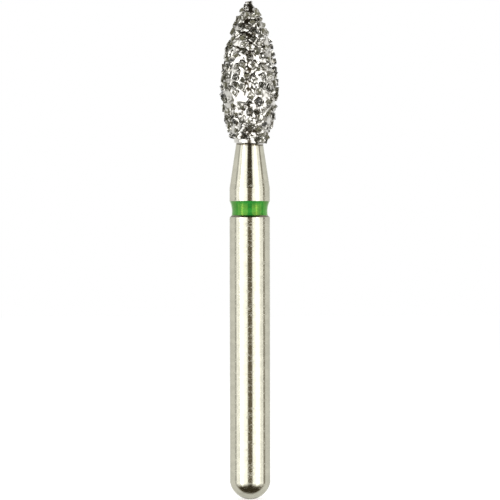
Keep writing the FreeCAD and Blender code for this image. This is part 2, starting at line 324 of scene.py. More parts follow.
def stretched(board, place, across, along):
    # The place, scaled across and along the axis.
    scale = {"Vector": place, "Scale": (across, across, along)}
    return board.add("ShaderNodeMapping", {"vector_type": "POINT"}, scale)


# Materials

# Painted shade in the groove and under the plating: how strong it is, and where it begins and
# ends.
GROOVE_SHADE = 0.8
GROOVE_SHADE_RISE = 0.02 * MM
LIP_SHADE = 0.85
LIP_SHADE_REACH = (0.075 * MM, 0.025 * MM)

# The neck is smoother than the shank: how far below the plating, and by what share.
POLISH_REACH = (1.3 * MM, 0.8 * MM)
POLISH = 0.7
STREAK_ROUGHNESS = 0.28
BLOTCH_ROUGHNESS = 0.05

# Depths of the fine relief of each material.
GRINDING_DEPTH = 0.0012 * MM
LACQUER_WAVE = 0.004 * MM
NICKEL_GRAIN = 0.003 * MM
DIAMOND_FLAW = 0.006 * MM

# How softly the nickel film on a grain ends.
FILM_EDGE = 0.03


def plating_run(board, turn, tilt):
    # How far the plating edge runs up or down at a turn round the axis.
    across = board.maths("SINE", turn)
    along = board.maths("COSINE", turn)
    return tilt * TILT_ACROSS * across + tilt * TILT_ALONG * along


def steel_material(sizes, plating):
    # Steel ground round and round, polished on the neck, with painted shade in its corners: the
    # groove and under the plating.
    material, board = new_material("ground_steel")
    place = board.add("ShaderNodeTexCoord", (), (), "Object")
    turned = stretched(board, place, 0.06, 1.0)
    fine = noise_on(board, turned, per_mm=26.0, detail=4.0, rough=0.65)
    coarse = noise_on(board, stretched(board, place, 0.25, 1.0), per_mm=5.0)
    blotch = noise_on(board, place, per_mm=1.6, detail=2.0)
    scuff = noise_on(board, stretched(board, place, 0.35, 1.0), per_mm=13.0, rough=0.7)
    streaks = board.clamped(fine * 0.4 + scuff * 0.6, 0.46, 0.66)
    tone = board.mix(
        board.clamped(coarse * 0.6 + blotch * 0.4, 0.38, 0.62),
        solid(sizes.steel, 0.93),
        solid(sizes.steel, 1.05),
    )
    split = board.add("ShaderNodeSeparateXYZ", (), {0: place})
    x, y, z = (board.other(split, k) for k in range(3))
    turn = board.maths("ARCTAN2", y, x)
    edge = plating.start + plating_run(board, turn, plating.lip_tilt)
    # Painted shade: the steel is darkened in the lower corner of the groove and just under the
    # plating edge.
    below = sizes.groove_low - sizes.groove_chamfer
    groove_shade = board.clamped(z, below, below + GROOVE_SHADE_RISE) * (z < sizes.groove_top)
    first, last = (edge - reach for reach in LIP_SHADE_REACH)
    lip_shade = board.clamped(z, first, last)
    tone = board.mix(groove_shade * GROOVE_SHADE + lip_shade * LIP_SHADE, tone, solid(sizes.painted_shade))
    first, last = (plating.start - reach for reach in POLISH_REACH)
    polish = 1.0 - board.clamped(z, first, last) * POLISH
    rough = sizes.roughness + streaks * polish * STREAK_ROUGHNESS
    rough = rough + board.clamped(blotch, 0.5, 0.75) * BLOTCH_ROUGHNESS
    hair = noise_on(board, turned, per_mm=60.0, detail=2.0)
    surface = {
        "Base Color": tone,
        "Metallic": 1.0,
        "Roughness": rough,
        "Specular Tint": (0.72, 0.72, 0.7, 1.0),
        "Normal": bump_on(board, fine * 0.7 + hair * 0.3, GRINDING_DEPTH),
    }
    finish_surface(board, surface)
    return material


def lacquer_material(sizes):
    # Glossy green with a faint sparkle, brushed round in the groove.
    material, board = new_material("green_lacquer")
    place = board.add("ShaderNodeTexCoord", (), (), "Object")
    cloud = noise_on(board, stretched(board, place, 0.5, 1.0), per_mm=3.0)
    speck = noise_on(board, place, per_mm=22.0, detail=2.0)
    tone = board.mix(
        board.clamped(cloud * 0.7 + speck * 0.3, 0.35, 0.65),
        solid(sizes.lacquer, 0.72),
        solid(sizes.lacquer, 1.2),
    )
    wave = noise_on(board, stretched(board, place, 0.6, 1.0), per_mm=7.0, detail=2.0)
    surface = {
        "Base Color": tone,
        "Roughness": 0.05 + speck * 0.1,
        "Metallic": 0.08,
        "IOR": 1.65,
        "Specular Tint": (1.0, 0.8, 0.15, 1.0),
        "Normal": bump_on(board, wave, LACQUER_WAVE),
    }
    finish_surface(board, surface)
    return material


def nickel_material(sizes):
    # Bright nickel, rougher in the crevices that its mesh marks, with painted shade that darkens
    # them.
    material, board = new_material("plated_nickel")
    place = board.add("ShaderNodeTexCoord", (), (), "Object")
    cloud = noise_on(board, place, per_mm=4.0)
    grain = noise_on(board, place, per_mm=30.0, rough=0.6)
    tone = board.mix(
        board.clamped(cloud, 0.35, 0.65),
        solid(sizes.nickel, 0.86),
        solid(sizes.nickel, 1.06),
    )
    # Painted shade: nearness to a grain darkens the nickel to the crevice colour.
    edge = board.add("ShaderNodeAttribute", {"attribute_name": "grain_edge"}, (), "Fac")
    tone = board.mix(edge, tone, solid(sizes.crevice))
    surface = {
        "Base Color": tone,
        "Metallic": 1.0,
        "Roughness": sizes.roughness + board.clamped(grain, 0.45, 0.8) * 0.12 + edge * 0.3,
        "Normal": bump_on(board, grain, NICKEL_GRAIN),
    }
    finish_surface(board, surface)
    return material


def diamond_material(sizes, nickel):
    # Dark translucent diamond, with a thin film of nickel that crept over it in patches.
    material, board = new_material("grown_diamond")
    place = board.add("ShaderNodeTexCoord", (), (), "Object")
    own = board.add("ShaderNodeAttribute", {"attribute_name": "grain_tone"}, (), "Fac")
    flaw = noise_on(board, place, per_mm=9.0, detail=4.0, rough=0.6)
    fine = noise_on(board, place, per_mm=22.0, rough=0.6)
    patch = noise_on(board, place, per_mm=7.0, detail=2.0, rough=0.55)
    share_pale = board.clamped(own * 0.55 + flaw * 0.45, 0.22, 0.78)
    tone = board.mix(share_pale, solid(sizes.dark), solid(sizes.pale))
    film = board.clamped(patch, sizes.film_start, sizes.film_start + FILM_EDGE)
    tone = board.mix(film, tone, solid(nickel))
    surface = {
        "Base Color": tone,
        "Metallic": film,
        "Roughness": sizes.roughness + board.clamped(fine, 0.45, 0.75) * 0.15,
        "IOR": 1.5,
        "Normal": bump_on(board, fine + film * 0.5, DIAMOND_FLAW),
    }
    finish_surface(board, surface)
    return material


# Mesh making


def piece_from(name, mesh, material, node):
    # A finished mesh as a piece that stands in for a node of the part.
    thing = bpy.data.objects.new(name, mesh)
    bpy.context.scene.collection.objects.link(thing)
    mesh.materials.clear()
    mesh.materials.append(material)
    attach(thing, BODY)
    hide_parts(node)


def turned_mesh(name, profile, around, sharp_degrees=SHARP_DEGREES):
    # Revolves an outline of radii and heights about the axis. One that doesn't start on the axis
    # is closed from its last point to its first.
    bm = bmesh.new()
    turns = [2 * math.pi * k / around for k in range(around)]
    rings = []
    for radius, height in profile:
        if radius < ON_AXIS:
            places = [(0.0, 0.0, height)]
        else:
            places = [(radius * math.cos(t), radius * math.sin(t), height) for t in turns]
        rings.append([bm.verts.new(place) for place in places])
    following_rings = rings[1:]
    if len(rings[0]) > 1:
        following_rings += rings[:1]
    for lower, upper in zip(rings, following_rings):
        for k in range(around):
            following = (k + 1) % around
            corners = [
                lower[k % len(lower)],
                lower[following % len(lower)],
                upper[following % len(upper)],
                upper[k % len(upper)],
            ]
            unique = list(dict.fromkeys(corners))
            if len(unique) > 2:
                bm.faces.new(unique)
    bmesh.ops.recalc_face_normals(bm, faces=bm.faces)
    mesh = bpy.data.meshes.new(name)
    bm.to_mesh(mesh)
    bm.free()
    mesh.shade_smooth()
    if sharp_degrees:
        mesh.set_sharp_from_angle(angle=math.radians(sharp_degrees))
    return mesh


def arc_points(centre, radius, first, last, count):
    # Points on an arc, both ends included.
    steps = [first + (last - first) * k / count for k in range(count + 1)]
    return [(centre[0] + radius * math.cos(a), centre[1] + radius * math.sin(a)) for a in steps]


def eased(before, corner, after, radius, count=4):
    # A corner of an outline, rounded to the radius.
    point = Vector(corner)
    one = (Vector(before) - point).normalized()
    two = (Vector(after) - point).normalized()
    half = one.angle(two) / 2
    reach = radius / math.tan(half)
    start, end = point + one * reach, point + two * reach
    middle = point + (one + two).normalized() * (radius / math.sin(half))
    points = []
    for k in range(count + 1):
        along = start.lerp(end, k / count) - middle
        points.append(tuple(middle + along.normalized() * radius))
    return points


def head_shape(p):
    # The two arcs of the plated head: from the lip to its widest place, and on to its tip.
    head = p.head_diameter / 2
    lip = bpy.context.scene.bur_blank.neck_diameter / 2 + p.lip_step
    swell = head - lip
    rise = p.rear_length - p.lip_length
    rear = (swell * swell + rise * rise) / (2 * swell)
    reach = p.front_length - p.tip_radius
    taper = head - p.tip_radius
    front = (head * head + reach * reach - p.tip_radius * p.tip_radius) / (2 * taper)
    widest = p.start + p.rear_length
    return SimpleNamespace(
        head=head,
        lip=lip,
        foot=-math.asin(rise / rear),
        rear=rear,
        rear_centre=(head - rear, widest),
        front=front,
        front_centre=(head - front, widest),
        tip_centre=(0.0, widest + reach),
    )


def core_profile(p):
    # The steel core under the plating, from the neck to its flat end.
    shape = head_shape(p)
    core = shape.head - p.thickness
    rear, front = core - shape.rear_centre[0], core - shape.front_centre[0]
    nose = math.acos((p.core_tip - shape.front_centre[0]) / front)
    rear_arc = arc_points(shape.rear_centre, rear, shape.foot, 0.0, CORE_STEPS)
    front_arc = arc_points(shape.front_centre, front, 0.0, nose, CORE_STEPS)
    return rear_arc + front_arc[1:]


# Edge breaks of the blank, as multiples of the one at the shank end.
NECK_EDGE = 2
COLLAR_EDGE = 0.4
GROOVE_EDGE = 1 / 3


class BUR_OT_steel_blank(bpy.types.Operator):
    """Turn the steel blank: rounded end, shank, colour groove, collar, neck and core"""

    bl_idname = "bur.steel_blank"
    bl_label = "Steel blank"

    def execute(self, context):
        b, p = context.scene.bur_blank, context.scene.bur_plating
        shank, neck = b.shank_diameter / 2, b.neck_diameter / 2
        floor = shank - b.groove_depth
        pole, dome = -math.pi / 2, math.asin(shank / b.end_radius)
        end = arc_points((0.0, b.end_radius), b.end_radius, pole, dome + pole, ARC_STEPS)
        end[0] = (0.0, end[0][1])
        collar = (shank, b.groove_top + b.collar_length)
        edge = (neck, p.start)
        core = core_profile(p)
        chamfer = (shank - b.groove_chamfer, b.groove_low)
        below = (shank, b.groove_low - b.groove_chamfer)
        profile = end[:-1]
        profile += eased(end[-2], end[-1], below, b.edge_break)
        rise = below[1] - end[-1][1]
        heights = [end[-1][1] + rise * k / SHANK_STEPS for k in range(1, SHANK_STEPS)]
        profile += [(shank, height) for height in heights]
        profile += eased(profile[-1], below, chamfer, b.edge_break)
        profile += eased(below, chamfer, (floor, b.groove_low), b.edge_break * GROOVE_EDGE, 2)
        profile += [(floor, b.groove_low), (floor, b.groove_top)]
        top = (shank, b.groove_top)
        profile += eased((floor, b.groove_top), top, collar, b.edge_break * COLLAR_EDGE)
        profile += eased(top, collar, edge, b.edge_break * NECK_EDGE)
        profile += [edge] + core + [(0.0, core[-1][1])]
        mesh = turned_mesh("steel_blank_turned", profile, AROUND)
        piece_from("blank", mesh, steel_material(b, p), "steel_blank")
        return {"FINISHED"}


class BUR_OT_colour_band(bpy.types.Operator):
    """Fill the groove with its ring of lacquer, hollow as it dried"""

    bl_idname = "bur.colour_band"
    bl_label = "Colour band"

    def execute(self, context):
        b, c = context.scene.bur_blank, context.scene.bur_band
        shank = b.shank_diameter / 2
        floor = shank - b.groove_depth
        start = Vector((shank - b.groove_chamfer, b.groove_low))
        end = Vector((shank - c.drop, b.groove_top))
        chord = end - start
        side = Vector((chord.y, -chord.x)).normalized()
        centre = (start + end) / 2 + side * math.sqrt(c.hollow**2 - chord.length_squared / 4)
        first = math.atan2(start.y - centre.y, start.x - centre.x) % (2 * math.pi)
        last = math.atan2(end.y - centre.y, end.x - centre.x) % (2 * math.pi)
        surface = arc_points(centre, c.hollow, first, last, ARC_STEPS)
        profile = [(floor, b.groove_low)] + surface + [(floor, b.groove_top)]
        mesh = turned_mesh("colour_band_turned", profile, AROUND)
        piece_from("band", mesh, lacquer_material(c), "colour_band")
        return {"FINISHED"}


# Grains

GRAIN_MERGE = 0.0004 * MM
GRAIN_FLAT_DEGREES = 2.0
GRAIN_SHARP_DEGREES = 35.0

# Small grains: the most to a square metre, and what share of it the middle and the tip get.
FINE_DENSITY = 80.0e6
MIDDLE_CROWD = 0.13
TIP_CROWD = 0.5

# They crowd and grow near the plating's edge, and get denser again between two depths below
# the tip.
FOOT_REACH = 0.3 * MM
FOOT_GROWTH = 1.7
TIP_REACH = (1.6 * MM, 0.8 * MM)

# They start this far above the lip, and creep lower from one distance right of the axis to the
# other.
SKIRT_ABOVE_LIP = 0.02 * MM
CREEP_SIDE = (0.1 * MM, 0.35 * MM)

# Room to a large grain as a share of the smallest width, and the block that each small grain
# is made of: its side, and how it may be stretched.
FINE_CLEARANCE = 0.35
FINE_BLOCK = 0.8
FINE_STRETCH = (0.7, 1.15)

# The coarser outline that they are strewn on.
FINE_AROUND = 64
FINE_STRIDE = 4


def grain_mesh(sizes):
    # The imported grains, with loose triangles merged, faces made whole and edges worn.
    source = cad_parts["diamond_grit"]
    bm = bmesh.new()
    bm.from_mesh(source.data)
    bmesh.ops.remove_doubles(bm, verts=bm.verts, dist=GRAIN_MERGE)
    bmesh.ops.dissolve_limit(
        bm,
        angle_limit=math.radians(GRAIN_FLAT_DEGREES),
        verts=bm.verts,
        edges=bm.edges,
        delimit={"NORMAL"},
    )
    bmesh.ops.recalc_face_normals(bm, faces=bm.faces)
    bmesh.ops.bevel(
        bm,
        geom=bm.edges[:],
        offset=sizes.wear,
        offset_type="OFFSET",
        segments=2,
        profile=0.6,
        affect="EDGES",
        clamp_overlap=True,
    )
    mesh = bpy.data.meshes.new("diamond_grains")
    bm.to_mesh(mesh)
    bm.free()
    return mesh


def input_of(tree, name, kind, default=None):
    made = tree.interface.new_socket(name=name, in_out="INPUT", socket_type=kind)
    if default is not None:
        made.default_value = default


def inputs_on(board, count):
    # The geometry and the named inputs of a tree, in their order.
    given = board.add("NodeGroupInput")
    return [board.other(given, k) for k in range(count)]


def finish_geometry(board, geometry, material):
    real = board.add("GeometryNodeRealizeInstances", (), {"Geometry": geometry})
    coated = board.add("GeometryNodeSetMaterial", (), {"Geometry": real, "Material": material})
    board.add("NodeGroupOutput", (), {0: coated})


def stored_on(board, geometry, name, value):
    return board.add(
        "GeometryNodeStoreNamedAttribute",
        {"data_type": "FLOAT", "domain": "POINT"},
        {"Geometry": geometry, "Name": name, "Value": value},
    )


def distance_to(board, target):
    values = {"Target": target}
    return board.add("GeometryNodeProximity", {"target_element": "FACES"}, values, "Distance")


def moved_along(board, geometry, normal, distance):
    values = {"Geometry": geometry, "Offset": board.scaled(normal, distance)}
    return board.add("GeometryNodeSetPosition", (), values)


def new_geometry(name):
    tree = bpy.data.node_groups.new(name, "GeometryNodeTree")
    input_of(tree, "Geometry", "NodeSocketGeometry")
    tree.interface.new_socket(name="Geometry", in_out="OUTPUT", socket_type="NodeSocketGeometry")
    return tree


def made_real(thing, tree, values):
    # The mesh that the nodes make of the thing, with the modifier taken off again.
    modifier = thing.modifiers.new("make", "NODES")
    modifier.node_group = tree
    for name, value in values.items():
        item = tree.interface.items_tree[name]
        modifier[item.identifier] = value
    graph = bpy.context.evaluated_depsgraph_get()
    mesh = bpy.data.meshes.new_from_object(
        thing.evaluated_get(graph), preserve_all_data_layers=True, depsgraph=graph
    )
    thing.modifiers.remove(modifier)
    return mesh


def grain_tree(material):
    # Divides each grain, chips its faces and gives it a tone of its own.
    tree = new_geometry("grain_chips")
    input_of(tree, "Chip", "NodeSocketFloat", 0.0)
    board = Board(tree)
    geometry, chip = inputs_on(board, 2)
    fine = board.add("GeometryNodeSubdivideMesh", (), {"Mesh": geometry, "Level": 1})
    place = board.add("GeometryNodeInputPosition")
    rough = noise_on(board, place, per_mm=9.0, rough=0.6) - 0.5
    normal = board.add("GeometryNodeInputNormal")
    moved = moved_along(board, fine, normal, rough * chip * 2.0)
    island = board.add("GeometryNodeInputMeshIsland", (), (), "Island Index")
    tone = board.add(
        "FunctionNodeRandomValue", {"data_type": "FLOAT"}, {"ID": island, "Seed": 3}, "Value_001"
    )
    finish_geometry(board, stored_on(board, moved, "grain_tone", tone), material)
    return tree


def fines_tree(material):
    # Small grains strewn over the head wherever the large ones leave room.
    tree = new_geometry("small_grains")
    input_of(tree, "Grit", "NodeSocketObject")
    input_of(tree, "Seed", "NodeSocketInt", 0)
    for name in ("Spacing", "Smallest", "Largest", "Foot", "Tip", "Creep"):
        input_of(tree, name, "NodeSocketFloat", 0.0)
    board = Board(tree)
    geometry, grit, seed, spacing, smallest, largest, foot, tip, creep = inputs_on(board, 9)
    large = board.add("GeometryNodeObjectInfo", (), {"Object": grit}, "Geometry")
    place = board.add("ShaderNodeSeparateXYZ", (), {0: board.add("GeometryNodeInputPosition")})
    across, height = board.other(place, "X"), board.other(place, "Z")
    # A few grains creep down over the edge of the plating at one side.
    lowest = foot - board.clamped(across, *CREEP_SIDE, 0.0, creep)
    crowd = board.clamped(height, foot, foot + FOOT_REACH, 1.0, MIDDLE_CROWD)
    crowd = crowd + board.clamped(height, tip - TIP_REACH[0], tip - TIP_REACH[1], 0.0, TIP_CROWD)
    points = board.add(
        "GeometryNodeDistributePointsOnFaces",
        {"distribute_method": "POISSON"},
        {
            "Mesh": geometry,
            "Distance Min": spacing,
            "Density Max": FINE_DENSITY,
            "Density Factor": crowd,
            "Seed": seed,
        },
        "Points",
    )
    unwanted = (distance_to(board, large) < smallest * FINE_CLEARANCE) + (height < lowest)
    kept = board.add(
        "GeometryNodeDeleteGeometry",
        {"domain": "POINT"},
        {"Geometry": points, "Selection": unwanted},
    )
    block = board.add("GeometryNodeMeshCube", (), {"Size": (FINE_BLOCK,) * 3}, "Mesh")
    turn = board.add(
        "FunctionNodeRandomValue",
        {"data_type": "FLOAT_VECTOR"},
        {"Max": (2 * math.pi,) * 3, "Seed": 4},
    )
    width = board.add(
        "FunctionNodeRandomValue",
        {"data_type": "FLOAT"},
        {"Min_001": smallest, "Max_001": largest, "Seed": 8},
        "Value_001",
    )
    stretch = board.add(
        "FunctionNodeRandomValue",
        {"data_type": "FLOAT_VECTOR"},
        {"Min": (FINE_STRETCH[0],) * 3, "Max": (FINE_STRETCH[1],) * 3, "Seed": 6},
    )
    grown = width * board.clamped(height, foot, foot + FOOT_REACH, FOOT_GROWTH, 1.0)
    scale = board.scaled(stretch, grown)
    strewn = board.add(
        "GeometryNodeInstanceOnPoints",
        (),
        {"Points": kept, "Instance": block, "Rotation": turn, "Scale": scale},
    )
    finish_geometry(board, strewn, material)
    return tree


def strewn_fines(g, material, grains):
    # The small grains as a mesh, strewn on the plated outline and the cone that closes it inside.
    p = bpy.context.scene.bur_plating
    outside, _, top = bond_profile(p)
    skirt = p.start + p.lip_length + SKIRT_ABOVE_LIP
    profile = [point for point in outside[::FINE_STRIDE] if point[1] > skirt - g.creep]
    mesh = turned_mesh("head_outline", profile + [top], FINE_AROUND)
    thing = bpy.data.objects.new("head_outline", mesh)
    bpy.context.scene.collection.objects.link(thing)
    values = {
        "Grit": grains,
        "Spacing": g.fine_spacing,
        "Smallest": g.fine_small,
        "Largest": g.fine_large,
        "Seed": g.seed,
        "Foot": skirt,
        "Tip": top[1],
        "Creep": g.creep,
    }
    mesh = made_real(thing, fines_tree(material), values)
    bpy.data.objects.remove(thing)
    return mesh


class BUR_OT_diamond_grit(bpy.types.Operator):
    """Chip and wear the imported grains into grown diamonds"""

    bl_idname = "bur.diamond_grit"
    bl_label = "Diamond grit"

    def execute(self, context):
        g = context.scene.bur_grit
        material = diamond_material(g, context.scene.bur_plating.nickel)
        thing = bpy.data.objects.new("grain_blanks", grain_mesh(g))
        context.scene.collection.objects.link(thing)
        both = bmesh.new()
        both.from_mesh(thing.data)
        both.from_mesh(strewn_fines(g, material, thing))
        both.to_mesh(thing.data)
        both.free()
        mesh = made_real(thing, grain_tree(material), {"Chip": g.chip})
        bpy.data.objects.remove(thing)
        mesh.shade_smooth()
        mesh.set_sharp_from_angle(angle=math.radians(GRAIN_SHARP_DEGREES))
        piece_from("grit", mesh, material, "diamond_grit")
        return {"FINISHED"}


# Nickel

BOND_AROUND = 300
BOND_STEP = 0.021 * MM

# The nickel ripples from this share of the lip's length upwards, growing over a short way.
FREE_FROM = 0.6
FREE_OVER = 0.09 * MM

# The tilt ends at this multiple of the lip's length. The lean spares what is nearer to the neck
# than this share of the lip's step.
TILT_REACH = 1.5
NECK_MARGIN = 0.3

# A cup of this depth lies under each grain, and deepens between these distances from its sides.
# Rays of this length tell what lies under a grain.
CUP_DEPTH = 0.1 * MM
CUP_RUN = (0.02 * MM, 0.07 * MM)
RAY_LENGTH = 0.6 * MM

# How strong the round blobs and the waves of a ripple are, and how far the whole is sunk.
BLOBS = 0.9
WAVES = 1.2
RIPPLE_SINK = 0.35


def bond_arc(centre, radius, first, last):
    return arc_points(centre, radius, first, last, int(radius * (last - first) / BOND_STEP))


def bond_profile(p):
    # The plated outline from the rolled lip to the tip, the neck and core inside it, and the tip.
    shape = head_shape(p)
    nose = math.atan2(
        shape.tip_centre[1] - shape.front_centre[1], shape.tip_centre[0] - shape.front_centre[0]
    )
    rolled = p.start + p.lip_roll
    straight = p.lip_length - p.lip_roll
    lip_centre = (shape.lip - p.lip_roll, rolled)
    outside = arc_points(lip_centre, p.lip_roll, -math.pi / 2, 0.0, LIP_STEPS)
    outside += [(shape.lip, rolled + straight * k / LIP_STEPS) for k in range(1, LIP_STEPS)]
    outside += bond_arc(shape.rear_centre, shape.rear, shape.foot, 0.0)
    outside += bond_arc(shape.front_centre, shape.front, 0.0, nose)[1:]
    outside += bond_arc(shape.tip_centre, p.tip_radius, nose, math.pi / 2)[1:-1]
    inside = [(bpy.context.scene.bur_blank.neck_diameter / 2, p.start)] + core_profile(p)
    top = (0.0, shape.tip_centre[1] + p.tip_radius)
    return outside, inside, top


def bond_mesh(p):
    # One closed shell: the outside to the tip, the edge at the neck, and the inside on the core.
    outside, inside, top = bond_profile(p)
    profile = [top] + outside[::-1] + inside + [(0.0, inside[-1][1])]
    mesh = turned_mesh("nickel_bond_turned", profile, BOND_AROUND, None)

    # How free each ring is to ripple: the tip fully, the lip and the inside not at all.
    values = [1.0]
    for point in outside[::-1]:
        free = (point[1] - p.start - p.lip_length * FREE_FROM) / FREE_OVER
        values += [max(0.0, min(1.0, free))] * BOND_AROUND
    values += [0.0] * (len(mesh.vertices) - len(values))
    mesh.attributes.new("free", "FLOAT", "POINT").data.foreach_set("value", values)

    # The lip runs off level and leans to one side, and the neck stays where it is.
    neck = inside[0][0] + NECK_MARGIN * p.lip_step
    for vertex in mesh.vertices:
        near_lip = 1.0 - (vertex.co.z - p.start) / (p.lip_length * TILT_REACH)
        if near_lip > 0.0:
            turn = math.atan2(vertex.co.y, vertex.co.x)
            run = TILT_ACROSS * math.sin(turn) + TILT_ALONG * math.cos(turn)
            vertex.co.z += p.lip_tilt * near_lip * run
            if vertex.co.to_2d().length > neck:
                vertex.co.x += TILT_LEAN * p.lip_tilt * near_lip
    return mesh


def bond_tree(material, grains):
    # Ripples in the nickel, a climb up the side of each grain and a cup under it.
    tree = new_geometry("nickel_climb")
    for name in ("Climb", "Climb Reach", "Ripple", "Ripple Size", "Crevice Width"):
        input_of(tree, name, "NodeSocketFloat", 0.0)
    board = Board(tree)
    geometry, climb, reach, ripple, size, crevice = inputs_on(board, 6)
    place = board.add("GeometryNodeInputPosition")
    normal = board.add("GeometryNodeInputNormal")
    free = board.add(
        "GeometryNodeInputNamedAttribute", {"data_type": "FLOAT"}, {"Name": "free"}, "Attribute"
    )
    grit = board.add("GeometryNodeObjectInfo", (), {"Object": grains}, "Geometry")
    near = distance_to(board, grit)
    ray = {
        "Target Geometry": grit,
        "Source Position": place,
        "Ray Direction": normal,
        "Ray Length": RAY_LENGTH,
    }
    hit = board.add("GeometryNodeRaycast", (), ray, "Is Hit")
    facing = board.add(
        "ShaderNodeVectorMath",
        {"operation": "DOT_PRODUCT"},
        {0: board.other(hit, "Hit Normal"), 1: normal},
        "Value",
    )
    inside = hit * (facing > 0.0)
    fall = board.maths("EXPONENT", 0.0 - near / reach)
    scaled = board.scaled(place, 1.0 / size)
    blobs = board.add(
        "ShaderNodeTexVoronoi",
        {"feature": "SMOOTH_F1"},
        {"Vector": scaled, "Scale": 1.0, "Smoothness": 0.6},
        "Distance",
    )
    waves = board.add(
        "ShaderNodeTexNoise", (), {"Vector": scaled, "Scale": 0.8, "Detail": 0.5}, "Fac"
    )
    relief = (0.5 - blobs) * BLOBS + (waves - 0.5) * WAVES
    outside_lift = climb * fall + ripple * (relief - RIPPLE_SINK)
    cup = board.clamped(near, *CUP_RUN) * CUP_DEPTH
    moved = moved_along(board, geometry, normal, (outside_lift - cup * inside) * free)
    # How deep in the crevice beside a grain each moved point lies, for the material's painted
    # shade there.
    edge = board.maths("EXPONENT", 0.0 - distance_to(board, grit) / crevice)
    finish_geometry(board, stored_on(board, moved, "grain_edge", edge), material)
    return tree


class BUR_OT_nickel_bond(bpy.types.Operator):
    """Plate the head with nickel that climbs round every grain"""

    bl_idname = "bur.nickel_bond"
    bl_label = "Nickel bond"

    def execute(self, context):
        p = context.scene.bur_plating
        material = nickel_material(p)
        thing = bpy.data.objects.new("bond_blank", bond_mesh(p))
        context.scene.collection.objects.link(thing)
        tree = bond_tree(material, bpy.data.objects["grit"])
        values = {
            "Climb": p.climb,
            "Climb Reach": p.climb_reach,
            "Ripple": p.ripple,
            "Ripple Size": p.ripple_size,
            "Crevice Width": p.crevice_width,
        }
        mesh = made_real(thing, tree, values)
        bpy.data.objects.remove(thing)
        mesh.shade_smooth()
        piece_from("bond", mesh, material, "nickel_bond")
        return {"FINISHED"}


# Stage

# Radiance round the bur in the level plane, by the turn from the camera, in degrees.
ROUND_BUR = (
    (-180, 1.0),
    (-97, 1.0),
    (-93.5, 0.55),
    (-87, 0.55),
    (-84, 1.0),
    (-79, 1.7),
    (-73, 1.75),
    (-69, 1.4),
    (-61, 1.4),
    (-56, 2.6),
    (-52, 5.6),
    (-47, 4.8),
    (-42, 2.2),
    (-22, 1.9),
    (-15, 1.9),
    (-11.5, 0.21),
    (12.5, 0.21),
    (16, 1.9),
    (30, 2.0),
    (38, 2.2),
    (42, 5.6),
    (46, 4.6),
    (50, 2.3),
    (58, 2.1),
    (63, 1.4),
    (72, 1.35),
    (79, 1.75),
    (82.5, 0.4),
    (94, 0.36),
    (98, 1.0),
    (180, 1.0),
)
RAMP_TOP = 6.0

# Turns in degrees from the camera: two narrow windows behind the bur, a seam between them.
WINDOW = (157.0, 161.0, 167.0, 169.0)
WINDOW_LIGHT = 0.7
SEAM = (168.0, 171.0)
SEAM_DARK = 0.65

# The dark strip ahead narrows with the rise, within these turns, and darkens where it is below
# its level. All these pairs are in degrees.
NARROWING = (5.0, 17.0)
NARROWED = 0.76
NARROWING_TURN = (20.0, 45.0)
STRIP_LEVEL = 0.3
STRIP_TILT = (7.0, 18.0)
STRIP_DIM = 0.34

# Rises and falls in degrees over which the light round the bur gives way to the light above it,
# below it and straight down.
HIGH = (24.0, 36.0)
LOW = (18.0, 44.0)
STRAIGHT_DOWN = (80.0, 92.0)

# Light above and below the bur: dark on the camera's side, pale behind. The pairs say how far a
# direction points to the camera where it starts and ends to darken.
ABOVE_TURN = (-0.35, 0.1)
UNDER_TURN = (-0.15, 0.12)
ABOVE_AHEAD = 0.02
UNDER_AHEAD = 0.06
PALE_BEHIND = 0.9
STRAIGHT_DOWN_LIGHT = 0.56

# Dark parts of the studio are warmer: fully up to the first level, and not from the second on.
WARM = (0.1, 0.6)
WARM_TINT = (1.0, 0.8, 0.52, 1.0)
WHITE = (1.0, 1.0, 1.0, 1.0)

# Floor just under the shank end, two lamps in metres from the origin, and a camera that stands
# a hair to the right and leans a little.
FLOOR_PAINT = (0.85, 0.85, 0.85)
FLOOR_GLOW = 0.48
FLOOR_GAP = 0.002 * MM
LAMP_SIZE = 0.06
LEFT_LAMP = (-0.09, -0.08, 0.09)
RIGHT_LAMP = (0.09, -0.07, 0.07)
CAMERA_ASIDE = 0.008 * MM
CAMERA_LEAN_DEGREES = 0.1


def ray_shares(board):
    # What the camera sees itself, and what metal and glass mirror or let through.
    seen = board.add("ShaderNodeLightPath", (), (), "Is Camera Ray")
    mirrored = board.other(seen, "Is Glossy Ray") + board.other(seen, "Is Transmission Ray")
    return seen, board.maths("MINIMUM", mirrored, 1.0)


